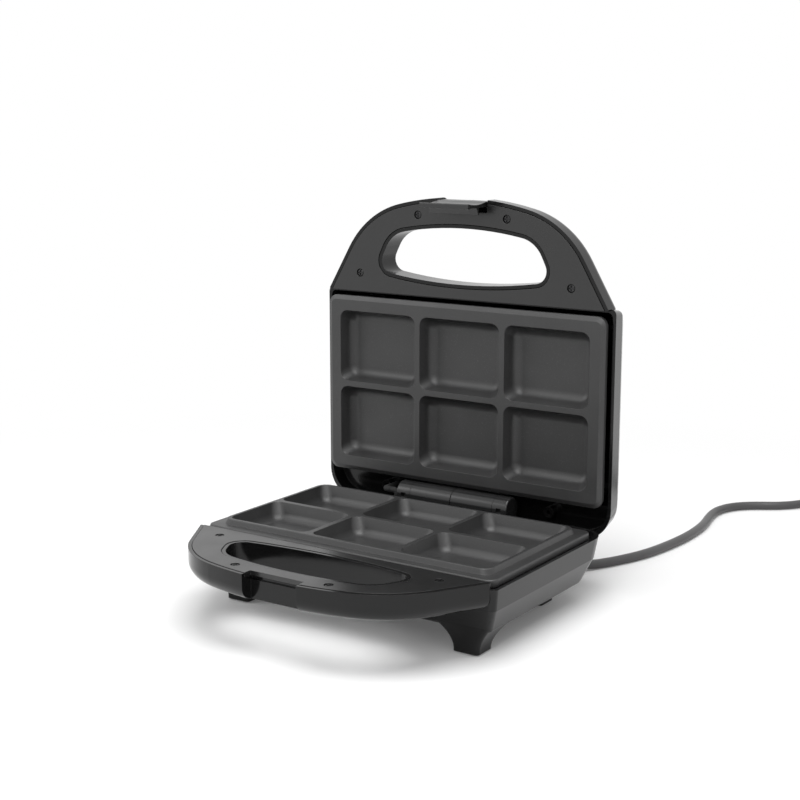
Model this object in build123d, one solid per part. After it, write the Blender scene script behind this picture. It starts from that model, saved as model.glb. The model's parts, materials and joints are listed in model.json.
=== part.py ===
from build123d import *
import math
import os

# Mini cake maker, lid standing open at 90 degrees. Millimetres, +Z up, front towards -Y.
# The housings are drawn closed, in a frame with Y = 0 at the plates' centre, and then placed.

# Baking plates
columns, rows = 3, 2
cell_w, cell_d, cell_depth = 67.3, 54.0, 12.0
cell_draft = 4.0
cell_corner_r, cell_floor_corner_r = 6.5, 8.5
cell_floor_r = 7.0
rib_w = 4.0
tray_wall = 2.4
tray_h = 3.6
tray_draft = 1.6
flange_w = 8.6
plate_t = 2.5
skirt_h = 5.0
plate_corner_r = 7.0
plate_bevel_w, plate_bevel_h = 3.2, 1.8
plate_gap = 0.3

# Housings
wall = 2.5
side_gap = 2.0
front_gap = 2.5
base_rear_room = 17.0
lid_rear_room = 25.0
foot_h = 16.5
body_depth = 40.75
rim_drop = 7.75
crease_drop = 22.75
crease_in = 2.5
bottom_in = 10.5
bottom_edge_r = 3.5
front_corner_r = 4.0
base_rear_r, lid_rear_r = 21.0, 23.0
base_deck_drop, lid_deck_drop = 11.35, 17.75
vent_w, vent_len, vent_pitch, vent_count = 3.0, 44.0, 8.0, 5
stop_x0, stop_x1 = 74.0, 80.0
lid_boss_x, lid_boss_in = 70.0, 14.0

# Handle
handle_root_half = 116.5
handle_corner_half, handle_corner_reach = 84.5, 55.0
handle_reach = 71.2
handle_bend_r = 71.0
handle_h = 18.5
handle_edge_r = 9.0
cover_drop = 2.95
cover_t = 3.0
seam = 0.4
grip_rear_gap = 6.3
grip_rear_half, grip_rear_bow = 77.5, 7.6
grip_front_half, grip_front_gap, grip_front_bow = 62.0, 45.4, 7.0
grip_rear_r, grip_front_r = 12.0, 25.0
cover_screw_spots = [(88.2, 12.6), (36.9, 57.6)]

# Hinge
hinge_back = 9.8
hinge_drop = 1.4
barrel_r = 9.0
barrel_half = 47.0
arm_half = 35.0
arm_gap = 0.3
arm_screw_in = 8.2
pin_r = 2.0
running_gap = 0.05
lid_open = 90.0

# Latch
latch_half = 20.0
latch_t, latch_plate_t = 6.5, 3.6
latch_in, latch_pin_up = 5.4, 10.3
latch_pin_r = 1.5
latch_reach = 24.0
hook_bite, hook_gap, hook_h = 1.3, 0.4, 3.4
latch_slot_gap, latch_room_in = 1.2, 11.2
catch_half, catch_in, groove_h = 21.2, 9.9, 2.8
ledge_in = 9.5

# Fasteners and inside parts
screw_r, screw_head_r, screw_head_h = 1.5, 2.6, 1.5
fit = 0.1
pillar_x, pillar_y, pillar_r = 52.0, 46.0, 6.0
plate_boss_r = 5.0
element_r = 3.25
element_leg_y, element_bend_r = 28.0, 24.0
element_left, element_right = -94.0, 84.0
reflector_t = 0.8
reflector_half_x, reflector_half_y, reflector_h = 102.5, 53.0, 11.0
reflector_gap = 13.0
clamp_w, clamp_t = 14.0, 1.2
lead_r, wire_r = 2.2, 1.0
lead_x, lid_lead_x = -(barrel_half + 5.0), -(barrel_half + 16.0)
lamp_r, lamp_y, lamp_pitch = 3.5, -45.0, 20.0
terminal_x0, terminal_x1, terminal_y0, terminal_y1, terminal_h = 6.0, 22.0, 56.0, 71.0, 11.0
terminal_pitch, terminal_bore_z = 7.6, 4.2
clamp_post_gap, clamp_run = 8.5, 15.0

# Feet
foot_x, foot_y, foot_w, foot_d = 93.0, 10.0, 19.0, 18.0
rear_foot_x, rear_foot_y = 80.0, 53.0
foot_top = foot_h + 4.5
foot_flares = [(1.0, 0, 0, 0, 0), (9.0, 1.5, 2.0, 0.2, 3.0), (15.0, 5.0, 7.5, 0.4, 9.0),
               (foot_top, 8.0, 16.5, 1.3, 21.0)]
pad_r, pad_t = 7.0, 2.5

# Power cord and plug
cord_r = 3.5
cord_lift = 0.1
gland_x, gland_z = 60.0, 25.0
gland_dir = Vector(0.2, 0.92, -0.33).normalized()
gland_len, gland_tip_r, gland_neck_r, gland_lip, gland_seat = 24.0, 4.6, 5.4, 1.6, 2.7
plug_len, plug_w, plug_run = 36.0, 36.0, 28.0
plug_pin_r, plug_pin_len, plug_pin_gap = 2.4, 19.0, 19.0
pin_root_r, pin_root = 1.8, 6.0
coil_quarters = 8
coil_r, coil_pitch, coil_rise, coil_lift = 45.8, 7.5, 7.5, 0.8

# Heights and outlines that follow
tray_half_x = (columns * cell_w + (columns - 1) * rib_w) / 2 + tray_wall
tray_half_y = (rows * cell_d + (rows - 1) * rib_w) / 2 + tray_wall
plate_half_x = tray_half_x + flange_w
plate_half_y = tray_half_y + flange_w
parting_z = foot_h + body_depth
rim_z = parting_z - rim_drop
rim_half = plate_half_x + side_gap + wall
root_y = -(plate_half_y + front_gap + wall)
base_rear_y = plate_half_y + base_rear_room
lid_rear_y = plate_half_y + lid_rear_room
front_y = root_y - handle_reach
cover_top = parting_z - cover_drop
cover_under = cover_top - cover_t
handle_low = cover_top - handle_h
floor_top = foot_h + wall
hinge_y, hinge_z = plate_half_y + hinge_back, parting_z - hinge_drop
hinge_axis = Axis((0, hinge_y, hinge_z), (1, 0, 0))
lid_top_z = parting_z + body_depth
plate_low = parting_z - cell_depth - plate_t
reflector_low = plate_low - reflector_gap
element_z = plate_low - element_r - fit / 2
back_y = hinge_y + lid_top_z - hinge_z
centre_y = (front_y + back_y) / 2
cover_top_lid = 2 * parting_z - cover_top
latch_pin_y, latch_pin_z = front_y + latch_in, cover_top_lid + latch_pin_up
ledge_y = front_y + ledge_in
UP = (Align.CENTER, Align.CENTER, Align.MIN)
DOWN = (Align.CENTER, Align.CENTER, Align.MAX)


def block(x0, x1, y0, y1, z0, z1):
    """Box between two corners."""
    return Pos((x0 + x1) / 2, (y0 + y1) / 2, (z0 + z1) / 2) * Box(x1 - x0, y1 - y0, z1 - z0)


def post(x, y, z0, z1, r):
    """Upright round post."""
    return Pos(x, y, z0) * Cylinder(r, z1 - z0, align=UP)


def rod_x(x0, x1, y, z, r):
    """Round rod along X."""
    return Pos((x0 + x1) / 2, y, z) * Rot(0, 90, 0) * Cylinder(r, x1 - x0)


def both_sides(shapes):
    """The shapes and their mirror images in X."""
    return shapes + [mirror(s, about=Plane.YZ) for s in shapes]


def flipped(shape):
    """The lid's copy of a base shape, mirrored in the parting plane."""
    return mirror(shape, about=Plane.XY.offset(parting_z))


def fuse(shapes):
    """One shape from several."""
    whole = shapes[0]
    for shape in shapes[1:]:
        whole = whole + shape
    return whole


def save(node, shapes, lid=False):
    """Place the shapes and write them under the node's name."""
    placed = []
    for shape in shapes:
        if lid:
            shape = shape.rotate(hinge_axis, -lid_open)
        placed.append(Pos(0, -centre_y, 0) * shape)
    whole = placed[0] if len(placed) == 1 else Compound(children=placed)
    export_step(whole, os.path.join("parts", node + ".step"))


def tube(points, radii, r):
    """Round tube on straight runs joined by tangent arcs."""
    path = FilletPolyline(*points, radius=radii)
    start = Plane(origin=path @ 0, z_dir=path % 0)
    return sweep(start * Circle(r), path=path), path.length


def corner_radii(points):
    """Largest tangent arc for each corner of the route."""
    spots = [Vector(*p) if isinstance(p, tuple) else p for p in points]
    runs = [spots[i + 1] - spots[i] for i in range(len(spots) - 1)]
    radii = []
    for first, second in zip(runs, runs[1:]):
        half_turn = math.radians(first.get_angle(second)) / 2
        radii.append(0.45 * min(first.length, second.length) / math.tan(half_turn))
    return radii


def rounded(half_x, half_y, r, z):
    """Rounded rectangle at a height."""
    return Pos(0, 0, z) * RectangleRounded(2 * half_x, 2 * half_y, r)


def screw(length):
    """Cross-head screw, underside of its head at Z = 0, shank down."""
    head = Cylinder(screw_head_r, screw_head_h, align=UP)
    head = fillet(head.edges().sort_by(Axis.Z)[-1], screw_head_h * 0.45)
    slot = Pos(0, 0, screw_head_h) * Box(1.5 * screw_head_r, 0.9, 1.6)
    shank = Cylinder(screw_r, length, align=DOWN)
    shank = chamfer(shank.edges().sort_by(Axis.Z)[0], screw_r * 0.4)
    return head + shank - slot - Rot(0, 0, 90) * slot


# Baking plates

def cell_spots():
    """Centres of the cells."""
    step_x, step_y = cell_w + rib_w, cell_d + rib_w
    return [((i - (columns - 1) / 2) * step_x, (j - (rows - 1) / 2) * step_y)
            for i in range(columns) for j in range(rows)]


def cells():
    """The cell hollows, drafted, with soft floor edges."""
    top = rounded(cell_w / 2, cell_d / 2, cell_corner_r, parting_z)
    low = rounded(cell_w / 2 - cell_draft, cell_d / 2 - cell_draft, cell_floor_corner_r,
                  parting_z - cell_depth)
    hollow = loft([low, top])
    hollow = fillet(hollow.edges().group_by(Axis.Z)[0], cell_floor_r)
    return [Pos(x, y, 0) * hollow for x, y in cell_spots()]


def plate_underside(top_z):
    """Casting under the plate's face, with its bosses."""
    body = loft([rounded(tray_half_x - cell_draft, tray_half_y - cell_draft, cell_corner_r, plate_low),
                 rounded(tray_half_x, tray_half_y, cell_corner_r, top_z)])
    bosses = [post(x, y, reflector_low + reflector_t, plate_low + 1.0, plate_boss_r)
              for x in (-pillar_x, pillar_x) for y in (-pillar_y, pillar_y)]
    bosses += [post(x, 0, clamp_top(), plate_low + 1.0, 4.0) for x in clamp_spots()]
    return fuse([body] + bosses)


def plate_holes():
    """Screw holes in the plate's bosses."""
    holes = [post(x, y, reflector_low, plate_low - 0.5, screw_r + fit)
             for x in (-pillar_x, pillar_x) for y in (-pillar_y, pillar_y)]
    holes += [post(x, 0, clamp_top() - 1, plate_low + 2, screw_r + fit) for x in clamp_spots()]
    return holes + [post(0, 0, plate_low - 1, plate_low + 6, screw_r + fit)]


def lower_plate():
    """Flange with turned-down skirt, raised tray rim and six cells."""
    top = parting_z - tray_h
    flange = extrude(rounded(plate_half_x, plate_half_y, plate_corner_r, top), amount=-skirt_h)
    flange = fillet(flange.edges().group_by(Axis.Z)[-1], 1.2)
    under = extrude(rounded(plate_half_x - plate_t, plate_half_y - plate_t, plate_corner_r - plate_t,
                            top - skirt_h), amount=skirt_h - plate_t)
    tray = loft([rounded(tray_half_x + tray_draft, tray_half_y + tray_draft, cell_corner_r + 2, top - 0.5),
                 rounded(tray_half_x, tray_half_y, cell_corner_r + 1, parting_z)])
    tray = fillet(tray.edges().group_by(Axis.Z)[-1], 0.6)
    body = flange - under + plate_underside(top) + tray
    return body - fuse(cells()) - fuse(plate_holes())


def upper_plate():
    """Flat face with bevelled edge, skirt and six cells, drawn face up like the lower one."""
    face_z = parting_z - plate_gap
    edge_z = face_z - plate_bevel_h
    slab = extrude(rounded(plate_half_x, plate_half_y, plate_corner_r, edge_z),
                   amount=plate_bevel_h - skirt_h)
    slab = slab + loft([rounded(plate_half_x, plate_half_y, plate_corner_r, edge_z),
                        rounded(plate_half_x - plate_bevel_w, plate_half_y - plate_bevel_w,
                                plate_corner_r - plate_bevel_w, face_z)])
    under = extrude(rounded(plate_half_x - plate_t, plate_half_y - plate_t, plate_corner_r - plate_t,
                            face_z - skirt_h), amount=skirt_h - plate_t - 1.0)
    body = slab - under + plate_underside(face_z - 1.0)
    return body - fuse(cells()) - fuse(plate_holes())


def clamp_spots():
    """X places of the element clamps, under the ribs between the columns."""
    return [(i - (columns - 2) / 2) * (cell_w + rib_w) for i in range(columns - 1)]


def clamp_top():
    """Top face of the element clamps."""
    return element_z - element_r - fit / 2


def element():
    """U-shaped sheathed rod with a thin terminal at each end."""
    ends = [(element_left, -element_leg_y, element_z), (element_right, -element_leg_y, element_z),
            (element_right, element_leg_y, element_z), (element_left, element_leg_y, element_z)]
    rod, _ = tube(ends, [element_bend_r, element_bend_r], element_r)
    terminals = [rod_x(-reflector_half_x - 4, element_left + 3, y, element_z, 1.4)
                 for y in (-element_leg_y, element_leg_y)]
    return fuse([rod] + terminals)


def element_clamps():
    """Sheet strips that press the rod to the plate."""
    strips = []
    for x in clamp_spots():
        strip = block(x - clamp_w / 2, x + clamp_w / 2, -element_leg_y - 7, element_leg_y + 7,
                      clamp_top() - clamp_t, clamp_top())
        strips.append(strip - post(x, 0, clamp_top() - 3, clamp_top() + 1, screw_r + fit))
    return strips


def clamp_screws():
    """Screws up into the plate's ribs."""
    return [Pos(x, 0, clamp_top() - clamp_t) * Rot(180, 0, 0) * screw(9.0) for x in clamp_spots()]


def reflector():
    """Thin tray between the element and the housing."""
    outer = extrude(rounded(reflector_half_x, reflector_half_y, 8, reflector_low), amount=reflector_h)
    inner = extrude(rounded(reflector_half_x - reflector_t, reflector_half_y - reflector_t, 7.2,
                            reflector_low + reflector_t), amount=reflector_h)
    tray = outer - inner
    for x in (-pillar_x, pillar_x):
        for y in (-pillar_y, pillar_y):
            tray = tray - post(x, y, reflector_low - 1, reflector_low + 2, screw_r + fit)
    for y in (-element_leg_y, element_leg_y):
        tray = tray - block(-reflector_half_x - 1, -reflector_half_x + 2, y - 3, y + 3,
                            element_z - 3, parting_z)
    return tray


def plate_screws():
    """Long screws through the pillars and the reflector into the plate."""
    seat = foot_h + 6.0
    return [Pos(x, y, seat) * Rot(180, 0, 0) * screw(plate_low - seat - 2)
            for x in (-pillar_x, pillar_x) for y in (-pillar_y, pillar_y)]


# Housings

def inset_at(z):
    """How far the side wall stands in from the rim at a height."""
    crease_z = parting_z - crease_drop
    if z > crease_z:
        return crease_in * (rim_z - z) / (rim_z - crease_z)
    return crease_in + (bottom_in - crease_in) * (crease_z - z) / (crease_z - foot_h)


gland_root = Vector(gland_x, base_rear_y - inset_at(gland_z), gland_z)
gland_start = gland_root + gland_dir * gland_lip
gland_tip = gland_start + gland_dir * gland_len
clamp_spot = gland_root - gland_dir * (clamp_run / gland_dir.Y)
cord_inner_end = clamp_spot - gland_dir * 3.0
clamp_strap_z = clamp_spot.Z + 0.6
stop_y = hinge_y + (parting_z + rim_drop - hinge_z) - 0.35


def section(z, inset, rear_y, rear_r):
    """Plan outline of a housing at a height."""
    half, low, high = rim_half - inset, root_y + inset, rear_y - inset
    face = Pos(0, (low + high) / 2, z) * Rectangle(2 * half, high - low)
    corners = face.vertices().group_by(Axis.Y)
    face = fillet(corners[0], front_corner_r)
    return fillet(face.vertices().group_by(Axis.Y)[-1], rear_r - inset * 0.5)


def tub(rear_y, rear_r, grow, low_z, top_z):
    """Housing body between two heights, its wall moved in by grow."""
    heights = [low_z, parting_z - crease_drop, top_z]
    return loft([section(z, inset_at(z) + grow, rear_y, rear_r) for z in heights], ruled=True)


def handle_face(inset):
    """Plan outline of the handle, running back under the housing's front wall."""
    back = root_y + 20
    corner = (handle_corner_half, root_y - handle_corner_reach)
    other = (-handle_corner_half, corner[1])
    lines = [Line((-handle_root_half, back), (handle_root_half, back)),
             Line((handle_root_half, back), (handle_root_half, root_y)),
             Line((handle_root_half, root_y), corner),
             ThreePointArc(corner, (0, front_y), other),
             Line(other, (-handle_root_half, root_y)),
             Line((-handle_root_half, root_y), (-handle_root_half, back))]
    face = make_face(lines)
    bends = [v for v in face.vertices() if abs(v.Y - corner[1]) < 0.1]
    face = fillet(bends, handle_bend_r)
    return offset(face, amount=-inset) if inset else face


def grip_face(inset):
    """Plan outline of the finger opening at the cover's edge."""
    rear = root_y - grip_rear_gap - grip_rear_bow
    front = root_y - grip_front_gap
    lines = [ThreePointArc((-grip_rear_half, rear), (0, rear + grip_rear_bow), (grip_rear_half, rear)),
             Line((grip_rear_half, rear), (grip_front_half, front)),
             ThreePointArc((grip_front_half, front), (0, front - grip_front_bow), (-grip_front_half, front)),
             Line((-grip_front_half, front), (-grip_rear_half, rear))]
    face = make_face(lines)
    face = fillet([v for v in face.vertices() if v.Y > rear - 0.1], grip_rear_r)
    face = fillet([v for v in face.vertices() if abs(v.Y - front) < 0.1], grip_front_r)
    return offset(face, amount=-inset) if inset else face


def slab_of(face, z0, z1, rear=None):
    """Face extruded between two heights, cut off behind a line in Y."""
    solid = extrude(Pos(0, 0, z0) * face, amount=z1 - z0)
    if rear is not None:
        solid = solid & block(-200, 200, -300, rear, z0 - 1, z1 + 1)
    return solid


def rounded_slab(inset, z0, r):
    """Lower part of the handle up to the rim, with a rounded outer edge."""
    slab = slab_of(handle_face(inset), z0, rim_z, root_y + 4)
    return fillet([e for e in slab.edges().group_by(Axis.Z)[0] if (e @ 0.5).Y < root_y + 3], r)


def housing(rear_y, rear_r, deck_drop, slot):
    """Shell with its half of the handle; slot is the box cut for the latch or its catch."""
    outer = tub(rear_y, rear_r, 0, foot_h, rim_z)
    outer = fillet(outer.edges().group_by(Axis.Z)[0], bottom_edge_r)
    handle = rounded_slab(0, handle_low, handle_edge_r)
    handle = handle + slab_of(handle_face(0), rim_z, cover_top - 0.3, root_y + 1)
    handle_room = rounded_slab(wall, handle_low + wall, handle_edge_r - wall)
    handle_room = handle_room & block(-200, 200, -300, root_y, 0, rim_z + 1)
    handle_room = handle_room + slab_of(handle_face(wall), rim_z, cover_top + 1, root_y + 5)
    handle_room = handle_room - slab_of(grip_face(seam), handle_low, cover_top + 2)
    x, y0, z0 = slot
    handle_room = handle_room - block(-x - wall, x + wall, front_y - 5, y0 + wall, handle_low, cover_under)
    room = tub(rear_y, rear_r, wall, floor_top, rim_z + 3)
    shell = outer + (handle - handle_room)
    shell = shell - slab_of(grip_face(seam + wall), handle_low - 1, cover_top + 1)
    shell = shell - room - block(-x, x, front_y - 5, y0, z0, cover_top + 1)
    deck = block(-rim_half, rim_half, plate_half_y + 1.5, rear_y, parting_z - deck_drop - wall,
                 parting_z - deck_drop)
    shell = shell + (deck & outer)
    pillars = [post(x, y, foot_h + 1, reflector_low, pillar_r)
               for x in (-pillar_x, pillar_x) for y in (-pillar_y, pillar_y)]
    bosses = both_sides([post(x, root_y - y, handle_low + 1, cover_under, 3.6)
                         for x, y in cover_screw_spots])
    return fuse([shell] + pillars + bosses)


def housing_holes():
    """Bores for the plate screws and the cover screws."""
    cuts = []
    for x in (-pillar_x, pillar_x):
        for y in (-pillar_y, pillar_y):
            cuts.append(post(x, y, foot_h, reflector_low + 1, screw_r + fit))
            cuts.append(post(x, y, foot_h - 1, foot_h + 6.0, screw_head_r + 0.6))
    for x, y in cover_screw_spots:
        cuts += both_sides([post(x, root_y - y, cover_under - 9, cover_top, screw_r + fit)])
    return cuts


def handle_cover(slot_half, slot_y):
    """Flat cover on the handle, with the finger opening and the recess for the latch."""
    cover = slab_of(handle_face(wall + seam), cover_under, cover_top, root_y + 1)
    cover = cover - slab_of(grip_face(0), cover_under - 1, cover_top + 1)
    lip = slab_of(handle_face(wall + seam), rim_z, cover_under, root_y + 1)
    cover = cover + (lip & block(-200, 200, root_y - 1.5, root_y + 2, rim_z, cover_under))
    cover = cover - block(-slot_half, slot_half, front_y - 5, slot_y, cover_under - 1, cover_top + 1)
    for x, y in cover_screw_spots:
        for side in (-1, 1):
            cover = cover - post(side * x, root_y - y, cover_under - 1, cover_top + 1, screw_r + fit)
            cover = cover - post(side * x, root_y - y, cover_top - 1.8, cover_top + 1,
                                 screw_head_r + 0.5)
    return cover


def cover_screws():
    """Four screws down through a handle cover."""
    return both_sides([Pos(x, root_y - y, cover_top - 1.8) * screw(8.0) for x, y in cover_screw_spots])


def foot(x, y):
    """Foot that flares into the base, most of all towards the middle."""
    out, ahead = math.copysign(1, x), math.copysign(1, y)
    sections = []
    for z, grow_out, grow_in, grow_near, grow_far in foot_flares:
        x0, x1 = x - out * (foot_w / 2 + grow_in), x + out * (foot_w / 2 + grow_out)
        y0, y1 = y - ahead * (foot_d / 2 + grow_far), y + ahead * (foot_d / 2 + grow_near)
        sections.append(Pos((x0 + x1) / 2, (y0 + y1) / 2, z)
                        * RectangleRounded(abs(x1 - x0), abs(y1 - y0), 2.5))
    room = tub(base_rear_y, base_rear_r, wall, floor_top, rim_z)
    return loft(sections) - room - post(x, y, -1, pad_t, pad_r + fit)


def foot_places():
    """Centres of the feet."""
    front = root_y + foot_y + foot_d / 2
    return [(foot_x, front), (-foot_x, front), (rear_foot_x, rear_foot_y), (-rear_foot_x, rear_foot_y)]


def base_shell():
    """Lower housing with feet, hinge deck, vents and the cord's hole."""
    slot = (catch_half, front_y + catch_in, handle_low - 1)
    shell = housing(base_rear_y, base_rear_r, base_deck_drop, slot)
    shell = fuse([shell] + [foot(x, y) for x, y in foot_places()])
    shell = shell - fuse(housing_holes())
    shell = shell - rod_x(-barrel_half - 1, barrel_half + 1, hinge_y, hinge_z, barrel_r + 0.6)
    for i in range(vent_count):
        x = (i - (vent_count - 1) / 2) * vent_pitch
        shell = shell - block(x - vent_w / 2, x + vent_w / 2, -vent_len / 2, vent_len / 2,
                              foot_h - 1, floor_top + 1)
    for x in knuckle_spots():
        shell = shell - post(x, hinge_y, base_deck() - wall - 1, base_deck() + 1, screw_r + fit)
    shell = shell - post(lead_x, hinge_y, base_deck() - wall - 1, base_deck() + 1, lead_r + 1.2)
    neck = Cylinder(gland_neck_r + fit, 16)
    spot_face = Pos(0, 0, -gland_seat) * Cylinder(gland_neck_r + 1.6 + fit, 12, align=DOWN)
    groove = block(-catch_half, catch_half, front_y + ledge_in, ledge_y + hook_bite + 0.5,
                   cover_under - groove_h, cover_under)
    stops = both_sides([block(stop_x0, stop_x1, base_rear_y - wall, stop_y, rim_z - 6, rim_z - 1)])
    shell = shell - Plane(origin=gland_root, z_dir=gland_dir) * (neck + spot_face) - groove
    return fuse([shell] + stops + clamp_posts())


def lid_shell():
    """Upper housing, drawn like the base and flipped."""
    slot = (latch_half + latch_slot_gap, front_y + latch_room_in, handle_low + wall + 0.3)
    shell = housing(lid_rear_y, lid_rear_r, lid_deck_drop, slot)
    shell = shell - fuse(housing_holes())
    for x, y in arm_screw_spots():
        shell = shell - post(x, y, lid_deck() - wall - 1, lid_deck() + 1, screw_r + fit)
    shell = shell - post(lid_lead_x, hinge_y, lid_deck() - wall - 1, lid_deck() + 1, lead_r + 0.4)
    boss_y = lid_rear_y - lid_boss_in
    bosses = both_sides([post(lid_boss_x, boss_y, lid_deck() - 1, lid_deck() + 7, 4.0)
                         - post(lid_boss_x, boss_y, lid_deck() + 1, lid_deck() + 8, screw_r + fit)])
    for x in lamp_spots():
        shell = shell - post(x, lamp_y, foot_h - 1, floor_top + 1, lamp_r + fit)
    pin_z = 2 * parting_z - latch_pin_z
    shell = shell - rod_x(-latch_half - 4, latch_half + 4, latch_pin_y, pin_z, latch_pin_r + fit)
    return flipped(fuse([shell] + bosses))


# Hinge

def base_deck():
    """Height of the base's hinge deck."""
    return parting_z - base_deck_drop


def lid_deck():
    """Height of the lid's hinge deck, drawn base side down."""
    return parting_z - lid_deck_drop


def knuckle_spots():
    """X places of the fixed knuckles' screws."""
    middle = (arm_half + arm_gap + barrel_half) / 2
    return [-middle, middle]


def hinge_knuckles():
    """Fixed end knuckles that stand on the base's deck."""
    inner = arm_half + arm_gap
    knuckle = rod_x(inner, barrel_half, hinge_y, hinge_z, barrel_r)
    knuckle = fillet(knuckle.edges().sort_by(Axis.X)[-1], 1.2)
    foot_block = block(inner, barrel_half - 0.6, hinge_y - 7, base_rear_y - wall - 1.2, base_deck(),
                       hinge_z)
    bore = rod_x(inner - 1, barrel_half - 1.5, hinge_y, hinge_z, pin_r + 0.02)
    slot = block(inner + 3.5, inner + 7.5, hinge_y - barrel_r - 1, hinge_y - barrel_r + 2.5,
                 hinge_z - 1.2, hinge_z + 1.8)
    middle = (inner + barrel_half) / 2
    hole = post(middle, hinge_y, base_deck() - 1, hinge_z - pin_r - 1.5, screw_r + fit)
    return both_sides([knuckle + foot_block - bore - slot - hole])


def knuckle_screws():
    """Screws up through the deck into the knuckles."""
    return [Pos(x, hinge_y, base_deck() - wall) * Rot(180, 0, 0) * screw(wall + 5.5)
            for x in knuckle_spots()]


def arm_screw_spots():
    """Places of the screws that hold the arms to the lid's deck."""
    return [(side * x, hinge_y + arm_screw_in) for side in (-1, 1) for x in (9.0, 27.0)]


def hinge_arms():
    """Two barrel halves with their arms, fixed to the lid's deck; drawn closed."""
    deck_z = 2 * parting_z - lid_deck()
    barrel = rod_x(arm_gap, arm_half, hinge_y, hinge_z, barrel_r)
    web = block(arm_gap, arm_half, hinge_y - 5.2, hinge_y + 5.2, hinge_z, deck_z)
    flange = block(arm_gap, arm_half, hinge_y - 5.2, lid_rear_y - wall - 2.4, deck_z - 3, deck_z)
    bore = rod_x(-1, arm_half + 1, hinge_y, hinge_z, pin_r + running_gap)
    arm = barrel + web + flange - bore
    for x, y in arm_screw_spots():
        if x > 0:
            arm = arm - post(x, y, deck_z - 4, deck_z + 1, screw_r + fit)
    return both_sides([arm])


def arm_screws():
    """Screws up through the arms' flanges into the lid's deck."""
    deck_z = 2 * parting_z - lid_deck()
    return [Pos(x, y, deck_z - 3) * Rot(180, 0, 0) * screw(3 + wall + 2.0)
            for x, y in arm_screw_spots()]


# Latch

def latch():
    """Clip with a rounded top on its pin, a hook and a finger lip; drawn closed."""
    outer_y = latch_pin_y - latch_t / 2
    inner_y = outer_y + latch_plate_t
    hook_len = ledge_y + hook_bite - inner_y
    tip_z = cover_top_lid - latch_reach
    hook_z = cover_under - hook_gap
    profile = make_face([
        Line((outer_y, latch_pin_z), (outer_y, cover_top_lid)),
        ThreePointArc((outer_y, cover_top_lid), (outer_y + 1.5, tip_z + 10), (outer_y + 0.3, tip_z)),
        Line((outer_y + 0.3, tip_z), (inner_y + 0.6, tip_z)),
        Line((inner_y + 0.6, tip_z), (inner_y, tip_z + 4)),
        Line((inner_y, tip_z + 4), (inner_y, hook_z - hook_h)),
        Line((inner_y, hook_z - hook_h), (inner_y + hook_len, hook_z - 1.2)),
        Line((inner_y + hook_len, hook_z - 1.2), (inner_y + hook_len, hook_z)),
        Line((inner_y + hook_len, hook_z), (inner_y, hook_z)),
        Line((inner_y, hook_z), (inner_y, cover_top_lid + 2)),
        Line((inner_y, cover_top_lid + 2), (latch_pin_y + latch_t / 2, latch_pin_z)),
        ThreePointArc((latch_pin_y + latch_t / 2, latch_pin_z),
                      (latch_pin_y, latch_pin_z + latch_t / 2), (outer_y, latch_pin_z))])
    profile = Plane(origin=(0, 0, 0), x_dir=(0, 1, 0), z_dir=(1, 0, 0)) * profile
    body = extrude(profile, amount=latch_half, both=True)
    tip = [e for e in body.edges().filter_by(Axis.X) if (e @ 0.5).Z < tip_z + 0.1]
    body = fillet(tip, 0.8)
    return body - rod_x(-latch_half - 1, latch_half + 1, latch_pin_y, latch_pin_z,
                        latch_pin_r + 0.02)


# Inside parts of the base and the lid

def lamp_spots():
    """X places of the two lamps."""
    return [-lamp_pitch / 2, lamp_pitch / 2]


def lamp_lens():
    """Small domed lens with a flange inside the lid's top; drawn like the base."""
    stem = post(0, lamp_y, foot_h - 0.8, floor_top, lamp_r)
    stem = fillet(stem.edges().group_by(Axis.Z)[0], 1.0)
    return stem + post(0, lamp_y, floor_top, floor_top + 1.2, lamp_r + 1.5)


def lamp_holder():
    """Bracket over both lenses, with a seat for each neon."""
    half = lamp_pitch / 2 + 9
    body = block(-half, half, lamp_y - 6, lamp_y + 6, floor_top, floor_top + 8.5)
    for x in lamp_spots():
        body = body - post(x, lamp_y, floor_top - 1, floor_top + 1.5, lamp_r + 1.7)
        body = body - rod_x(x - 5, x + 5, lamp_y, floor_top + 4.4, 2.7)
        body = body - block(x - 2.4, x + 2.4, lamp_y - 2.4, lamp_y + 2.4, floor_top, floor_top + 4.4)
    return body


def neon_lamps():
    """Two small glass bulbs in the holder."""
    bulbs = []
    for x in lamp_spots():
        bulb = rod_x(x - 4.7, x + 4.7, lamp_y, floor_top + 4.4, 2.4)
        bulbs.append(fillet(bulb.edges(), 1.2))
    return bulbs


def thermostat():
    """Disc thermostat with a stud in the plate's middle rib."""
    can = post(0, 0, plate_low - 9, plate_low - 0.05, 8.0)
    can = fillet(can.edges().group_by(Axis.Z)[0], 1.0)
    tabs = block(-12, 12, -3, 3, plate_low - 7, plate_low - 6)
    return can + tabs + post(0, 0, plate_low - 1, plate_low + 5.5, screw_r)


def thermal_fuse():
    """Small sleeved fuse with its two wires, against the plate."""
    body = rod_x(-7, 7, 15, plate_low - 2.35, 2.25)
    return body + rod_x(-13, 13, 15, plate_low - 2.35, 0.6)


def terminal_spots():
    """Y places of the two terminals."""
    middle = (terminal_y0 + terminal_y1) / 2
    return [middle - terminal_pitch / 2, middle + terminal_pitch / 2]


def terminal_block():
    """Two-way terminal strip on the base's floor, behind the reflector."""
    body = block(terminal_x0, terminal_x1, terminal_y0, terminal_y1, floor_top, floor_top + terminal_h)
    x = (terminal_x0 + terminal_x1) / 2
    for y in terminal_spots():
        body = body - post(x, y, floor_top + terminal_bore_z, floor_top + terminal_h + 1, 2.2)
        body = body - rod_x(terminal_x0 - 1, terminal_x1 + 1, y, floor_top + terminal_bore_z, wire_r + 0.5)
    return body


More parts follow.
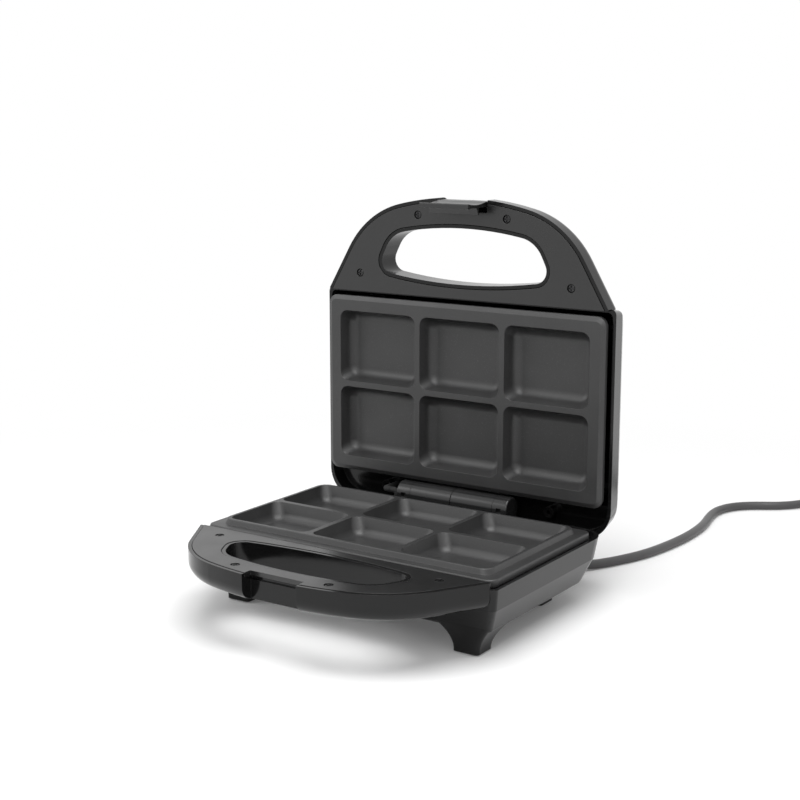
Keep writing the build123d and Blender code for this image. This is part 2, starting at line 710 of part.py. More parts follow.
def terminal_screws():
    """Clamping screws in the terminal strip."""
    x, top = (terminal_x0 + terminal_x1) / 2, floor_top + terminal_h - 1.2
    low = floor_top + terminal_bore_z + wire_r + 0.1
    return [post(x, y, low, top, 2.1) - block(x - 2.2, x + 2.2, y - 0.3, y + 0.3, top - 0.9, top + 1)
            for y in terminal_spots()]


def clamp_posts():
    """Posts on the base's floor that the cord clamp is screwed to."""
    return [post(clamp_spot.X + side * clamp_post_gap, clamp_spot.Y, foot_h + 1, clamp_strap_z, 3.4)
            - post(clamp_spot.X + side * clamp_post_gap, clamp_spot.Y, clamp_strap_z - 6,
                   clamp_strap_z + 1, screw_r + fit) for side in (-1, 1)]


def cord_clamp():
    """Strap over the cord inside the base, with a low ear at each screw."""
    x, y, low = clamp_spot.X, clamp_spot.Y, clamp_strap_z
    ear_h, crown_h, crown_half = 2.4, 6.4, 5.5
    strap = block(x - 12, x + 12, y - 3.5, y + 3.5, low, low + ear_h)
    strap = strap + block(x - crown_half, x + crown_half, y - 3.5, y + 3.5, low, low + crown_h)
    strap = strap - Plane(origin=clamp_spot, z_dir=gland_dir) * Cylinder(cord_r + fit, 40)
    for side in (-1, 1):
        strap = strap - post(x + side * clamp_post_gap, y, low - 1, low + ear_h + 1, screw_r + fit)
    return strap


def cord_clamp_screws():
    """Two screws through the strap into its posts."""
    return [Pos(clamp_spot.X + side * clamp_post_gap, clamp_spot.Y, clamp_strap_z + 2.4) * screw(7.0)
            for side in (-1, 1)]


def strain_relief():
    """Tapered sleeve with a grooved neck in the base's rear wall."""
    sleeve = Cone(gland_neck_r + 1.6, gland_tip_r, gland_len, align=UP)
    neck = Pos(0, 0, -4.5) * Cylinder(gland_neck_r, 4.6, align=UP)
    head = Pos(0, 0, -7.0) * Cylinder(gland_neck_r + 1.6, 2.6, align=UP)
    body = sleeve + neck + head
    for i in range(3):
        body = body - Pos(0, 0, 7 + 4.5 * i) * (Cylinder(9, 1.3) - Cylinder(5.4 - 0.25 * i, 1.3))
    body = body - Cylinder(cord_r + 0.05, 80)
    return Plane(origin=gland_start, z_dir=gland_dir) * body


def inner_cord():
    """The cord's sheath from the strain relief's tip to just past the clamp."""
    length = (gland_tip - cord_inner_end).length
    return Plane(origin=cord_inner_end, z_dir=gland_dir) * Cylinder(cord_r, length, align=UP)


def mains_wires():
    """Two cores from the cord's end into the terminal strip."""
    wires = []
    z = floor_top + terminal_bore_z
    across = (Vector(0, 0, 1) - gland_dir * gland_dir.Z).normalized()
    past_post = clamp_spot.Y - 6.4
    for y, lift, turn in zip(terminal_spots(), (1.6, -1.6), (0.0, 2.4)):
        start = cord_inner_end + across * lift - gland_dir * 0.05
        points = [start, start - gland_dir * 3.0, (50.0, past_post, start.Z - 3.6),
                  (40.0, past_post + turn, z + 2.4 + lift), (terminal_x1 + 6, y, z),
                  (terminal_x1 - 4.5, y, z)]
        wires.append(tube(points, corner_radii(points), wire_r)[0])
    return wires


def element_wires():
    """Two wires from the terminal strip round the reflector to the element's ends."""
    far = -reflector_half_x - 4
    wires = []
    for leg, z in ((element_leg_y, floor_top + 6.4), (-element_leg_y, floor_top + 3.2)):
        points = [(terminal_x0 - 0.05, 58.6, z), (-88.0, 58.6, z), (far, reflector_half_y - 6, z),
                  (far, leg, z), (far, leg, element_z - 1.45)]
        wires.append(tube(points, [9.0, 9.0, 3.0], wire_r)[0])
    return wires


def foot_pads():
    """Rubber discs in the feet."""
    return [fillet(post(x, y, 0, pad_t, pad_r).edges().group_by(Axis.Z)[0], 0.5)
            for x, y in foot_places()]


def base_lead():
    """Sleeved lead from the terminal strip up to the hinge axis."""
    points = [(terminal_x0 - 0.05, 64.5, 27.0), (-36.0, 64.5, 26.0), (lead_x, 68.0, 28.0),
              (lead_x, hinge_y, base_deck() - 2), (lead_x, hinge_y, hinge_z),
              ((lead_x + lid_lead_x) / 2 + 0.15, hinge_y, hinge_z)]
    return tube(points, corner_radii(points), lead_r)[0]


def lid_lead_z():
    """Height of the wires under the lid's top, closed."""
    return lid_top_z - wall - 5


def lid_lead():
    """The same lead from the hinge axis into the lid; drawn closed."""
    z = lid_lead_z()
    points = [((lead_x + lid_lead_x) / 2 - 0.15, hinge_y, hinge_z), (lid_lead_x, hinge_y, hinge_z),
              (lid_lead_x, hinge_y, z), (lid_lead_x, reflector_half_y + 10, z)]
    return tube(points, corner_radii(points), lead_r)[0]


def lid_wires():
    """Wires from the lead to the lamp holder and to the upper element; drawn closed."""
    z = lid_lead_z()
    y = reflector_half_y + 10 - 0.05
    far = -reflector_half_x - 4
    x = lid_lead_x + 1.1
    side = lamp_spots()[0] - 9.05
    lamp_wire = [(x, y, z), (x, lamp_y + 17, z), (side - 13, lamp_y, z), (side, lamp_y, z)]
    x = lid_lead_x - 1.1
    element_wire = [(x, y, z), (x, y - 8, z), (far, y - 24, z), (far, element_leg_y, z),
                    (far, element_leg_y, 2 * parting_z - element_z + 1.45)]
    return [tube(lamp_wire, [12.0, 8.0], wire_r)[0], tube(element_wire, [4.0, 4.0, 3.0], wire_r)[0]]


# Power cord outside the object, in the finished frame

gland_end = gland_tip - Vector(0, centre_y, 0)
cord_z = cord_r + cord_lift
coil_z = cord_r + coil_lift
route = [gland_end, gland_end + gland_dir * 17.0, (74.0, 143.0, 5.6), (80.5, 155.5, cord_z),
         (90.5, 174.0, cord_z),
         (100.5, 200.0, cord_z), (106.0, 232.0, cord_z), (108.5, 266.0, cord_z), (106.5, 300.0, cord_z),
         (100.5, 326.0, cord_z), (98.0, 345.0, cord_z), (101.0, 361.5, cord_z), (109.0, 375.0, cord_z),
         (121.5, 384.5, cord_z), (134.5, 392.0, cord_z), (146.0, 403.5, cord_z), (156.0, 422.0, cord_z),
         (167.0, 446.0, coil_z), (176.0, 462.0, coil_z)]


def power_cord():
    """The free stretch from the strain relief to the coil."""
    radii = corner_radii(route)
    solid, length = tube(route, radii, cord_r)
    print("cord radii", [round(r, 1) for r in radii], "length", round(length, 1))
    print("cord volume ratio", round(solid.volume / (math.pi * cord_r ** 2 * length), 4))
    return solid


def arc_middle(start, tangent, end):
    """Middle of the arc that leaves start along tangent and reaches end."""
    chord = end - start
    along = chord.normalized()
    side = tangent - along * tangent.dot(along)
    if side.length < 1e-9:
        return start + chord * 0.5
    angle = math.radians(tangent.get_angle(chord))
    return start + chord * 0.5 + side.normalized() * (chord.length / 2 * math.tan(angle / 2))


def biarc(start, tangent, end, end_tangent):
    """Two arcs that leave start and reach end along the given directions."""
    v = end - start
    both = tangent + end_tangent
    spread = 2 * (1 - tangent.dot(end_tangent))
    reach = (math.sqrt(v.dot(both) ** 2 + spread * v.dot(v)) - v.dot(both)) / spread
    near, far = start + tangent * reach, end - end_tangent * reach
    joint = (near + far) * 0.5
    turn = (far - near).normalized()
    return [ThreePointArc(start, arc_middle(start, tangent, joint), joint),
            ThreePointArc(joint, arc_middle(joint, turn, end), end)]


coil_heading = math.degrees(math.atan2(route[-1][1] - route[-2][1], route[-1][0] - route[-2][0]))
coil_end_run = 2.4 * cord_r


def coil_point(k):
    """Place and direction on the coil after k quarter turns, clockwise from above."""
    turn = math.radians(coil_heading + 90 - 90 * k)
    inward = k if k <= coil_quarters / 2 else coil_quarters - k
    r = coil_r - coil_pitch / 4 * inward
    climb = min(max((k - coil_quarters / 2 + 1) / 2, 0), 1)
    side = (k > coil_quarters / 2) - (k < coil_quarters / 2)
    rate = side * coil_pitch / (2 * math.pi)
    slope = 0.0 if side else coil_rise / (math.pi * r)
    out = Vector(math.cos(turn), math.sin(turn), 0)
    ahead = Vector(math.sin(turn), -math.cos(turn), 0)
    place = coil_centre + out * r + Vector(0, 0, coil_z + coil_rise * climb)
    return place, (ahead + out * (rate / r) + Vector(0, 0, slope)).normalized()


def coil_middle():
    """Centre of the coil, so that its first straight end starts where the route stops."""
    heading = math.radians(coil_heading)
    ahead = Vector(math.cos(heading), math.sin(heading), 0)
    side = Vector(math.sin(heading), -math.cos(heading), 0)
    return Vector(route[-1][0], route[-1][1], 0) + ahead * coil_end_run + side * coil_r


coil_centre = coil_middle()


def cord_coil():
    """The stored length: in for a turn, up, out again for a turn, as one tube."""
    start, first = coil_point(0)
    first = Vector(math.cos(math.radians(coil_heading)), math.sin(math.radians(coil_heading)), 0)
    edges = [Line(start - first * coil_end_run, start)]
    tangent = first
    for k in range(coil_quarters):
        here, there = coil_point(k), coil_point(k + 1)
        edges += biarc(here[0], tangent, there[0], there[1])
        tangent = there[1]
    last = coil_point(coil_quarters)[0]
    edges.append(Line(last, last + tangent * plug_run))
    path = Wire(edges)
    solid = sweep(Plane(origin=path @ 0, z_dir=path % 0) * Circle(cord_r), path=path)
    count = 600
    spots = [path @ (i / count) for i in range(count + 1)]
    apart = int(3 * cord_r / (path.length / count)) + 1
    least = min((spots[i] - spots[j]).length
                for i in range(count) for j in range(i + apart, count + 1))
    print("coil length", round(path.length, 1), "least gap", round(least - 2 * cord_r, 2), "volume ratio",
          round(solid.volume / (math.pi * cord_r ** 2 * path.length), 4))
    return solid, last + tangent * plug_run, tangent


def cord_tie():
    """Flat band round both layers of the coil, a quarter turn in."""
    spots = [coil_point(k)[0] for k in (1, 5, 7)]
    out = (spots[0] - Vector(coil_centre.X, coil_centre.Y, spots[0].Z)).normalized()
    reach = [(s - Vector(coil_centre.X, coil_centre.Y, s.Z)).dot(out) for s in spots]
    low, high = min(reach) - cord_r - 0.4, max(reach) + cord_r + 0.4
    top = coil_z + coil_rise + cord_r + 0.4
    middle = coil_centre + out * ((low + high) / 2) + Vector(0, 0, (top + coil_lift - 0.1) / 2)
    frame = Plane(origin=middle, x_dir=out, z_dir=out.cross(Vector(0, 0, 1)))
    height = top - coil_lift + 0.1
    ring = RectangleRounded(high - low + 1.2, height + 1.2, 2.6)
    ring = ring - RectangleRounded(high - low, height, 2.0)
    return frame * extrude(ring, amount=2.0, both=True)


def plug(place, heading):
    """Moulded two-pin plug that lies on the surface beside the coil."""
    frame = Plane(origin=place, x_dir=heading.cross(Vector(0, 0, 1)), z_dir=heading)
    thick = 2 * (place.Z - cord_lift)
    neck = loft([Circle(cord_r + 1.2), Pos(0, 0, 17) * Circle(cord_r + 3.0)])
    face = 16 + plug_len
    body = loft([Pos(0, 0, 16) * RectangleRounded(20, 15, 5),
                 Pos(0, 0, 30) * RectangleRounded(plug_w - 3, thick - 1, 8),
                 Pos(0, 0, face) * RectangleRounded(plug_w, thick, 8)])
    body = neck + fillet(body.edges().group_by(Axis.Z)[-1], 1.2)
    pins = []
    for side in (-1, 1):
        pin = Cylinder(plug_pin_r, plug_pin_len, align=UP)
        pin = fillet(pin.edges().group_by(Axis.Z)[-1], 1.4) + Cylinder(pin_root_r, pin_root, align=DOWN)
        pins.append(Pos(side * plug_pin_gap / 2, 0, face) * pin)
        socket = Cylinder(pin_root_r + 0.02, pin_root, align=DOWN)
        body = body - Pos(side * plug_pin_gap / 2, 0, face) * socket
    return frame * body, [frame * pin for pin in pins]


os.makedirs("parts", exist_ok=True)

save("base_shell", [base_shell()])
save("base_handle_cover", [handle_cover(catch_half, ledge_y)])
save("base_handle_screws", cover_screws())
save("lower_plate", [lower_plate()])
save("lower_element", [element()])
save("lower_element_clamps", element_clamps())
save("lower_clamp_screws", clamp_screws())
save("lower_reflector", [reflector()])
save("lower_plate_screws", plate_screws())
save("foot_pads", foot_pads())
save("hinge_knuckles", hinge_knuckles())
save("hinge_knuckle_screws", knuckle_screws())
save("hinge_pin", [rod_x(-barrel_half + 1.6, barrel_half - 1.6, hinge_y, hinge_z, pin_r)])
save("thermostat", [thermostat()])
save("thermal_fuse", [thermal_fuse()])
save("terminal_block", [terminal_block()])
save("terminal_screws", terminal_screws())
save("cord_clamp", [cord_clamp()])
save("cord_clamp_screws", cord_clamp_screws())
save("strain_relief", [strain_relief()])
save("inner_cord", [inner_cord()])
save("mains_wires", mains_wires())
save("element_wires", element_wires())
save("hinge_lead", [base_lead()])

save("lid_shell", [lid_shell()], lid=True)
save("lid_handle_cover", [flipped(handle_cover(latch_half + latch_slot_gap, front_y + catch_in))], lid=True)
save("lid_handle_screws", [flipped(s) for s in cover_screws()], lid=True)
save("upper_plate", [flipped(upper_plate())], lid=True)
save("upper_element", [flipped(element())], lid=True)
save("upper_element_clamps", [flipped(s) for s in element_clamps()], lid=True)
save("upper_clamp_screws", [flipped(s) for s in clamp_screws()], lid=True)
save("upper_reflector", [flipped(reflector())], lid=True)
save("upper_plate_screws", [flipped(s) for s in plate_screws()], lid=True)
save("hinge_arms", hinge_arms(), lid=True)
save("hinge_arm_screws", arm_screws(), lid=True)
save("power_lamp_lens", [Pos(lamp_spots()[0], 0, 0) * flipped(lamp_lens())], lid=True)
save("ready_lamp_lens", [Pos(lamp_spots()[1], 0, 0) * flipped(lamp_lens())], lid=True)
save("lamp_holder", [flipped(lamp_holder())], lid=True)
save("neon_lamps", [flipped(s) for s in neon_lamps()], lid=True)
save("lid_lead", [lid_lead()], lid=True)
save("lid_wires", lid_wires(), lid=True)
save("latch", [latch()], lid=True)
save("latch_pin", [rod_x(-latch_half - 3.4, latch_half + 3.4, latch_pin_y, latch_pin_z, latch_pin_r)],
     lid=True)

coil, coil_end, coil_out = cord_coil()
plug_body, plug_pins = plug(coil_end, coil_out)
to_plate_frame = Pos(0, centre_y, 0)
save("power_cord", [to_plate_frame * power_cord()])
save("cord_coil", [to_plate_frame * coil])
save("cord_tie", [to_plate_frame * cord_tie()])
save("plug_body", [to_plate_frame * plug_body])
save("plug_pins", [to_plate_frame * pin for pin in plug_pins])

print("centre_y", round(centre_y, 3), "hinge at", round(hinge_y - centre_y, 3), round(hinge_z, 3))
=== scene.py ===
import json
import math

import bpy
from mathutils import Matrix, Vector


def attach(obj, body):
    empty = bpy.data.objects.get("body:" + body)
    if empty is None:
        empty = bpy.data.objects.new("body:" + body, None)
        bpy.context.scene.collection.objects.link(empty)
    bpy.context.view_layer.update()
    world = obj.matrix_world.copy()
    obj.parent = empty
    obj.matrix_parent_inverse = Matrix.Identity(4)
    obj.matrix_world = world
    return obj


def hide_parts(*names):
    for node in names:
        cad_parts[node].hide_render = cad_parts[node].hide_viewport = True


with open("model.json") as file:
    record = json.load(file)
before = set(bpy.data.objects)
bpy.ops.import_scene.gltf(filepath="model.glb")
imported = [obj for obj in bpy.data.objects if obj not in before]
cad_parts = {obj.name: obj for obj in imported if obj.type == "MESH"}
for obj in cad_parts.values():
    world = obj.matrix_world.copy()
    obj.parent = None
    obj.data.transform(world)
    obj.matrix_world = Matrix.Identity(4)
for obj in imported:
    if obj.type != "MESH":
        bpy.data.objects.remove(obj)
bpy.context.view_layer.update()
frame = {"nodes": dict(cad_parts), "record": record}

# Mini cake maker with its lid standing open, in metres.

nodes = frame["nodes"]
MM = 0.001

# Floor: half its width, its tone where it is lit, and how it turns to pure white with distance
floor_half, floor_tone = 6.0, 0.75
fade_start, fade_end, fade_least = 0.28, 0.72, 0.08
world_strength = 0.45

# Lamps: name, place, point looked at, side length, power
lamps = [("top_light", (0.25, -0.2, 1.4), (0.0, 0.0, 0.05), 1.1, 16.0),
         ("left_light", (-1.2, -0.8, 1.0), (0.0, 0.0, 0.1), 0.8, 5.0),
         ("front_light", (0.5, -1.6, 1.3), (0.0, 0.0, 0.1), 0.8, 6.0)]

# Camera, as the photograph was taken
camera_place = (0.56215, -0.82173, 0.34273)
camera_back = (0.54692, -0.81430, 0.19439)
camera_lens = 67.84

# Power cord, with the points of the real route
cord_radius = 0.0035
cord_z = 0.0036
coil_z = 0.0043
coil_radius, coil_pitch, coil_rise = 0.0458, 0.0075, 0.0075
coil_end_run, plug_run = 0.0084, 0.028
coil_quarters = 8
points_per_quarter = 4
smoothing_power = 0.7
route = [(0.06513, 0.11301, 0.01653), (0.06854, 0.12869, 0.01091), (0.0740, 0.1430, 0.0056),
         (0.0805, 0.1555, cord_z), (0.0905, 0.1740, cord_z), (0.1005, 0.2000, cord_z),
         (0.1060, 0.2320, cord_z), (0.1085, 0.2660, cord_z), (0.1065, 0.3000, cord_z),
         (0.1005, 0.3260, cord_z), (0.0980, 0.3450, cord_z), (0.1010, 0.3615, cord_z),
         (0.1090, 0.3750, cord_z), (0.1215, 0.3845, cord_z), (0.1345, 0.3920, cord_z),
         (0.1460, 0.4035, cord_z), (0.1560, 0.4220, cord_z), (0.1670, 0.4460, coil_z),
         (0.1760, 0.4620, coil_z)]


def make_camera():
    """Camera at the photograph's place and angle."""
    data = bpy.data.cameras.new("camera")
    data.lens = camera_lens
    data.sensor_width = 36.0
    data.sensor_fit = "HORIZONTAL"
    data.clip_start, data.clip_end = 0.05, 50.0
    camera = bpy.data.objects.new("camera", data)
    bpy.context.scene.collection.objects.link(camera)
    back = Vector(camera_back).normalized()
    right = Vector((0, 0, 1)).cross(back).normalized()
    up = back.cross(right)
    turn = Matrix((right, up, back)).transposed().to_4x4()
    camera.matrix_world = Matrix.Translation(camera_place) @ turn
    bpy.context.scene.camera = camera


# Cord

def coil_points():
    """The stored loops: in for a turn, up a layer, and out again for a turn."""
    last, before = Vector(route[-1]), Vector(route[-2])
    heading = math.atan2(last.y - before.y, last.x - before.x)
    ahead = Vector((math.cos(heading), math.sin(heading), 0))
    side = Vector((math.sin(heading), -math.cos(heading), 0))
    centre = Vector((last.x, last.y, 0)) + ahead * coil_end_run + side * coil_radius
    steps = coil_quarters * points_per_quarter
    widen = 1 / math.cos(math.pi / 4 / points_per_quarter) ** smoothing_power
    points = []
    for step in range(1, steps):
        k = step / points_per_quarter
        turn = heading + math.pi / 2 * (1 - k)
        inward = min(k, coil_quarters - k)
        radius = (coil_radius - coil_pitch / 4 * inward) * widen
        climb = min(max((k - coil_quarters / 2 + 1) / 2, 0.0), 1.0)
        climb = climb * climb * (3 - 2 * climb)
        points.append(centre + Vector((math.cos(turn) * radius, math.sin(turn) * radius,
                                       coil_z + coil_rise * climb)))
    turn = heading + math.pi / 2 * (1 - coil_quarters)
    out = Vector((math.cos(turn), math.sin(turn), 0))
    lean = coil_pitch / (2 * math.pi) / coil_radius
    away = (Vector((math.sin(turn), -math.cos(turn), 0)) + out * lean).normalized()
    edge = centre + out * coil_radius + Vector((0, 0, coil_z + coil_rise))
    return points + [edge, edge + away * plug_run]


def make_cord():
    """One smooth cord from the strain relief to the plug."""
    points = [Vector(p) for p in route] + coil_points()
    curve = bpy.data.curves.new("mains_cord", "CURVE")
    curve.dimensions = "3D"
    curve.bevel_depth = cord_radius
    curve.bevel_resolution = 6
    curve.resolution_u = 8
    curve.use_fill_caps = True
    spline = curve.splines.new("NURBS")
    spline.points.add(len(points) - 1)
    for spot, point in zip(spline.points, points):
        spot.co = (*point, 1.0)
    spline.order_u = 3
    spline.use_endpoint_u = True
    cord = bpy.data.objects.new("mains_cord", curve)
    bpy.context.scene.collection.objects.link(cord)
    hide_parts("power_cord", "cord_coil")
    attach(cord, "base")
    return cord


# Materials

def node_tree(name):
    """New material, its nodes and its shader."""
    material = bpy.data.materials.new(name)
    material.use_nodes = True
    tree = material.node_tree
    shader = tree.nodes["Principled BSDF"]
    return material, tree, shader


def noise(tree, scale, detail=2.0, rough=0.5, stretch=None):
    """Noise in the object's own space."""
    place = tree.nodes.new("ShaderNodeTexCoord")
    texture = tree.nodes.new("ShaderNodeTexNoise")
    texture.inputs["Scale"].default_value = scale
    texture.inputs["Detail"].default_value = detail
    texture.inputs["Roughness"].default_value = rough
    if stretch:
        mapping = tree.nodes.new("ShaderNodeMapping")
        mapping.inputs["Scale"].default_value = stretch
        tree.links.new(place.outputs["Object"], mapping.inputs["Vector"])
        tree.links.new(mapping.outputs["Vector"], texture.inputs["Vector"])
    else:
        tree.links.new(place.outputs["Object"], texture.inputs["Vector"])
    return texture.outputs["Fac"]


def ramp(tree, value, stops):
    """Colour ramp over a value."""
    node = tree.nodes.new("ShaderNodeValToRGB")
    tree.links.new(value, node.inputs["Fac"])
    while len(node.color_ramp.elements) < len(stops):
        node.color_ramp.elements.new(0.5)
    for element, (place, colour) in zip(node.color_ramp.elements, stops):
        element.position = place
        element.color = (*colour, 1.0)
    return node.outputs["Color"]


def spread(tree, value, low, high):
    """Value mapped from 0..1 to low..high."""
    node = tree.nodes.new("ShaderNodeMapRange")
    tree.links.new(value, node.inputs["Value"])
    node.inputs["From Min"].default_value = 0.3
    node.inputs["From Max"].default_value = 0.7
    node.inputs["To Min"].default_value = low
    node.inputs["To Max"].default_value = high
    return node.outputs["Result"]


def bump(tree, shader, value, strength, distance, edge=None):
    """Bump on the shader, over softly rounded edges."""
    node = tree.nodes.new("ShaderNodeBump")
    node.inputs["Strength"].default_value = strength
    node.inputs["Distance"].default_value = distance
    tree.links.new(value, node.inputs["Height"])
    if edge:
        soft = tree.nodes.new("ShaderNodeBevel")
        soft.samples = 4
        soft.inputs["Radius"].default_value = edge
        tree.links.new(soft.outputs["Normal"], node.inputs["Normal"])
    tree.links.new(node.outputs["Normal"], shader.inputs["Normal"])


def shade(colour, factor):
    """Colour made darker or lighter."""
    return tuple(c * factor for c in colour)


def moulded(name, colour, gloss, grain=900.0, depth=0.00002, strength=0.25, edge=0.0004, vary=0.12,
            index=1.5):
    """Moulded plastic or rubber: fine grain, slight change of colour and gloss."""
    material, tree, shader = node_tree(name)
    cloud = noise(tree, 14.0, 3.0)
    stops = [(0.35, shade(colour, 1 - vary)), (0.65, shade(colour, 1 + vary))]
    tree.links.new(ramp(tree, cloud, stops), shader.inputs["Base Color"])
    fine = noise(tree, grain, 2.0)
    patches = noise(tree, 40.0, 4.0)
    tree.links.new(spread(tree, patches, gloss - 0.035, gloss + 0.035), shader.inputs["Roughness"])
    shader.inputs["IOR"].default_value = index
    bump(tree, shader, fine, strength, depth, edge)
    return material


def plated(name, colour, gloss, stretch=(1.0, 1.0, 1.0), grain=300.0):
    """Bare or plated metal with fine drawn marks."""
    material, tree, shader = node_tree(name)
    marks = noise(tree, grain, 3.0, 0.6, stretch)
    tree.links.new(ramp(tree, marks, [(0.3, shade(colour, 0.82)), (0.7, shade(colour, 1.08))]),
                   shader.inputs["Base Color"])
    shader.inputs["Metallic"].default_value = 1.0
    tree.links.new(spread(tree, marks, gloss - 0.06, gloss + 0.08), shader.inputs["Roughness"])
    bump(tree, shader, marks, 0.2, 0.00003, 0.0002)
    return material


def nonstick():
    """Dark coating on cast plates: orange peel and faint paler specks."""
    material, tree, shader = node_tree("nonstick_coating")
    specks = noise(tree, 1500.0, 1.0)
    tone = noise(tree, 22.0, 3.0)
    base = ramp(tree, tone, [(0.3, (0.020, 0.020, 0.0202)), (0.7, (0.027, 0.027, 0.0272))])
    pale = ramp(tree, specks, [(0.66, (0.0, 0.0, 0.0)), (0.74, (0.03, 0.03, 0.03))])
    add = tree.nodes.new("ShaderNodeMix")
    add.data_type = "RGBA"
    add.blend_type = "ADD"
    add.inputs["Factor"].default_value = 1.0
    tree.links.new(base, add.inputs["A"])
    tree.links.new(pale, add.inputs["B"])
    tree.links.new(add.outputs["Result"], shader.inputs["Base Color"])
    tree.links.new(spread(tree, noise(tree, 60.0, 3.0), 0.40, 0.48), shader.inputs["Roughness"])
    shader.inputs["IOR"].default_value = 1.6
    bump(tree, shader, noise(tree, 520.0, 2.0), 0.22, 0.00006, 0.0005)
    return material


def woven(name, colour):
    """Braided glass sleeve on the leads."""
    material, tree, shader = node_tree(name)
    place = tree.nodes.new("ShaderNodeTexCoord")
    braid = tree.nodes.new("ShaderNodeTexVoronoi")
    braid.inputs["Scale"].default_value = 1400.0
    tree.links.new(place.outputs["Object"], braid.inputs["Vector"])
    tree.links.new(ramp(tree, braid.outputs["Distance"], [(0.0, colour), (0.8, shade(colour, 0.55))]),
                   shader.inputs["Base Color"])
    shader.inputs["Roughness"].default_value = 0.85
    bump(tree, shader, braid.outputs["Distance"], 0.5, 0.0001)
    return material


def lens(name, colour):
    """Translucent coloured lens."""
    material, tree, shader = node_tree(name)
    tree.links.new(ramp(tree, noise(tree, 300.0, 2.0), [(0.3, shade(colour, 0.8)), (0.7, colour)]),
                   shader.inputs["Base Color"])
    shader.inputs["Roughness"].default_value = 0.12
    shader.inputs["Transmission Weight"].default_value = 0.35
    shader.inputs["IOR"].default_value = 1.49
    bump(tree, shader, noise(tree, 700.0, 1.0), 0.1, 0.00003)
    return material


def glass(name):
    """Clear bulb glass."""
    material, tree, shader = node_tree(name)
    stops = [(0.3, (0.9, 0.85, 0.8)), (0.7, (1.0, 0.97, 0.93))]
    tree.links.new(ramp(tree, noise(tree, 200.0, 2.0), stops), shader.inputs["Base Color"])
    shader.inputs["Roughness"].default_value = 0.05
    shader.inputs["Transmission Weight"].default_value = 0.9
    return material


def make_materials():
    """One material for each slot of the record."""
    return {
        "housing_plastic": moulded("housing_gloss_black", (0.006, 0.006, 0.0061), 0.15, index=1.37),
        "cover_plastic": moulded("cover_satin_black", (0.005, 0.005, 0.0051), 0.30, 1300.0, 0.00003,
                                 0.3, index=1.62),
        "hinge_plastic": moulded("hinge_black", (0.014, 0.014, 0.0143), 0.24),
        "black_screws": plated("black_screw_steel", (0.055, 0.055, 0.056), 0.38),
        "nonstick": nonstick(),
        "heater": plated("heater_sheath", (0.22, 0.21, 0.20), 0.5, (1.0, 8.0, 8.0)),
        "zinc_steel": plated("zinc_steel", (0.56, 0.56, 0.57), 0.35),
        "tin_tray": plated("galvanised_tray", (0.6, 0.61, 0.62), 0.38, (1.0, 6.0, 1.0), 120.0),
        "foot_rubber": moulded("foot_rubber", (0.03, 0.03, 0.03), 0.75, 500.0, 0.0001, 0.4),
        "thermostat_metal": plated("thermostat_metal", (0.66, 0.66, 0.66), 0.3),
        "fuse_sleeve": woven("glass_sleeve", (0.72, 0.71, 0.66)),
        "lead_sleeve": woven("black_sleeve", (0.018, 0.018, 0.018)),
        "pale_plastic": moulded("natural_nylon", (0.76, 0.74, 0.68), 0.45, vary=0.04),
        "brass_parts": plated("brass_parts", (0.68, 0.50, 0.22), 0.3),
        "wire_insulation": moulded("wire_insulation", (0.74, 0.72, 0.68), 0.5, vary=0.04),
        "red_lens": lens("red_lens", (0.55, 0.02, 0.015)),
        "green_lens": lens("green_lens", (0.03, 0.42, 0.08)),
        "neon_glass": glass("neon_glass"),
        "cord_rubber": moulded("cord_sheath", (0.062, 0.061, 0.062), 0.42, 700.0, 0.00004, 0.3),
        "cord_tie": moulded("tie_plastic", (0.02, 0.02, 0.02), 0.45),
        "plug_plastic": moulded("plug_plastic", (0.05, 0.05, 0.051), 0.42, 900.0, 0.00004, 0.3),
        "plug_metal": plated("plug_metal", (0.74, 0.73, 0.70), 0.22),
    }


def dress(materials):
    """Give every node the material of its slot."""
    for entry in frame["record"]["subparts"]:
        mesh = nodes[entry["node"]].data
        mesh.materials.clear()
        mesh.materials.append(materials[entry["material_slot"]])


# Floor, backdrop and light

def ray_switch(tree):
    """1 for camera, glossy and transmission rays, else 0."""
    path = tree.nodes.new("ShaderNodeLightPath")
    first = tree.nodes.new("ShaderNodeMath")
    first.operation = "MAXIMUM"
    tree.links.new(path.outputs["Is Camera Ray"], first.inputs[0])
    tree.links.new(path.outputs["Is Glossy Ray"], first.inputs[1])
    second = tree.nodes.new("ShaderNodeMath")
    second.operation = "MAXIMUM"
    tree.links.new(first.outputs["Value"], second.inputs[0])
    tree.links.new(path.outputs["Is Transmission Ray"], second.inputs[1])
    return second.outputs["Value"]


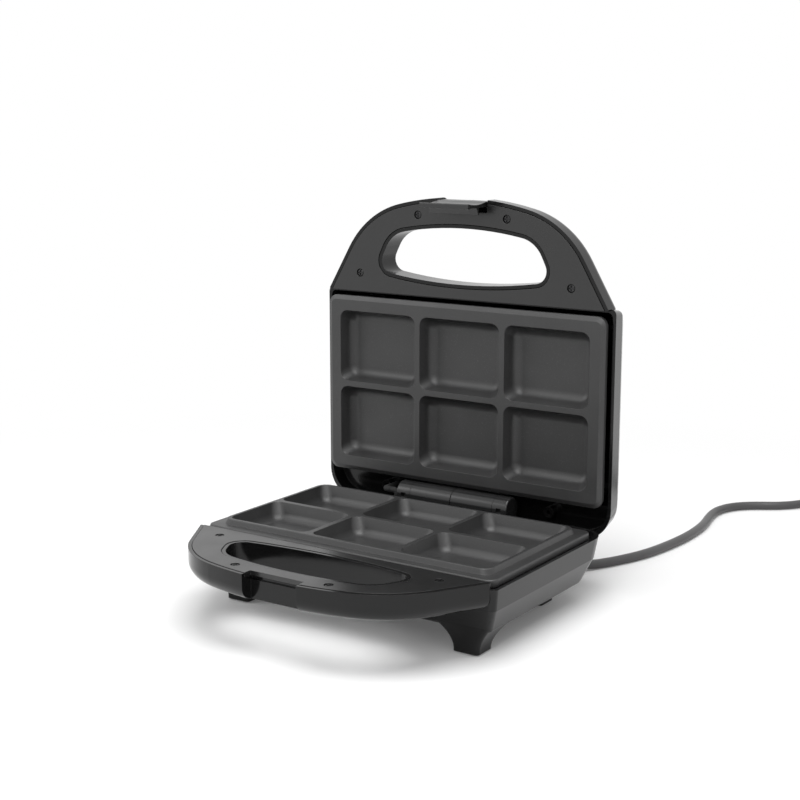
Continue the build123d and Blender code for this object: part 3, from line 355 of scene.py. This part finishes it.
def make_floor():
    """White floor that keeps the object's shadow and turns to pure white further out."""
    corners = [(-floor_half, -floor_half, 0), (floor_half, -floor_half, 0),
               (floor_half, floor_half, 0), (-floor_half, floor_half, 0)]
    mesh = bpy.data.meshes.new("floor")
    mesh.from_pydata(corners, [], [(0, 1, 2, 3)])
    floor = bpy.data.objects.new("floor", mesh)
    bpy.context.scene.collection.objects.link(floor)
    material = bpy.data.materials.new("floor")
    material.use_nodes = True
    tree = material.node_tree
    tree.nodes.clear()
    out = tree.nodes.new("ShaderNodeOutputMaterial")
    diffuse = tree.nodes.new("ShaderNodeBsdfDiffuse")
    white = tree.nodes.new("ShaderNodeEmission")
    blend = tree.nodes.new("ShaderNodeMixShader")
    place = tree.nodes.new("ShaderNodeTexCoord")
    away = tree.nodes.new("ShaderNodeVectorMath")
    fade = tree.nodes.new("ShaderNodeMapRange")
    seen = tree.nodes.new("ShaderNodeMath")
    tone = tree.nodes.new("ShaderNodeMix")
    away.operation = "LENGTH"
    fade.interpolation_type = "SMOOTHSTEP"
    seen.operation = "MULTIPLY"
    tone.data_type = "RGBA"
    for name, value in (("From Min", fade_start), ("From Max", fade_end), ("To Min", fade_least),
                        ("To Max", 1.0)):
        fade.inputs[name].default_value = value
    tone.inputs["A"].default_value = (floor_tone, floor_tone, floor_tone, 1.0)
    tone.inputs["B"].default_value = (1.0, 1.0, 1.0, 1.0)
    switch = ray_switch(tree)
    for start, end in ((place.outputs["Object"], away.inputs[0]),
                       (away.outputs["Value"], fade.inputs["Value"]),
                       (fade.outputs["Result"], seen.inputs[0]), (switch, seen.inputs[1]),
                       (switch, tone.inputs["Factor"]),
                       (tone.outputs["Result"], diffuse.inputs["Color"]),
                       (seen.outputs["Value"], blend.inputs["Fac"]),
                       (diffuse.outputs["BSDF"], blend.inputs[1]),
                       (white.outputs["Emission"], blend.inputs[2]),
                       (blend.outputs["Shader"], out.inputs["Surface"])):
        tree.links.new(start, end)
    mesh.materials.append(material)


def make_world():
    """Even pale surround; white where it is seen or mirrored."""
    world = bpy.data.worlds.new("studio")
    bpy.context.scene.world = world
    world.use_nodes = True
    tree = world.node_tree
    back = tree.nodes["Background"]
    back.inputs["Color"].default_value = (1.0, 1.0, 1.0, 1.0)
    mix = tree.nodes.new("ShaderNodeMix")
    tree.links.new(ray_switch(tree), mix.inputs["Factor"])
    mix.inputs["A"].default_value = world_strength
    mix.inputs["B"].default_value = 1.0
    tree.links.new(mix.outputs["Result"], back.inputs["Strength"])


def soft_light(name, place, target, size, power):
    """Large square lamp that looks at a point."""
    data = bpy.data.lights.new(name, "AREA")
    data.shape = "SQUARE"
    data.size = size
    data.energy = power
    lamp = bpy.data.objects.new(name, data)
    bpy.context.scene.collection.objects.link(lamp)
    lamp.location = place
    lamp.rotation_euler = (Vector(target) - Vector(place)).to_track_quat("-Z", "Y").to_euler()


def make_studio():
    """Floor, world, and soft light from above, the left and the front."""
    make_floor()
    make_world()
    for lamp in lamps:
        soft_light(*lamp)


make_camera()
cord = make_cord()
materials = make_materials()
dress(materials)
cord.data.materials.append(materials["cord_rubber"])
make_studio()
bpy.context.scene.view_settings.view_transform = "Standard"
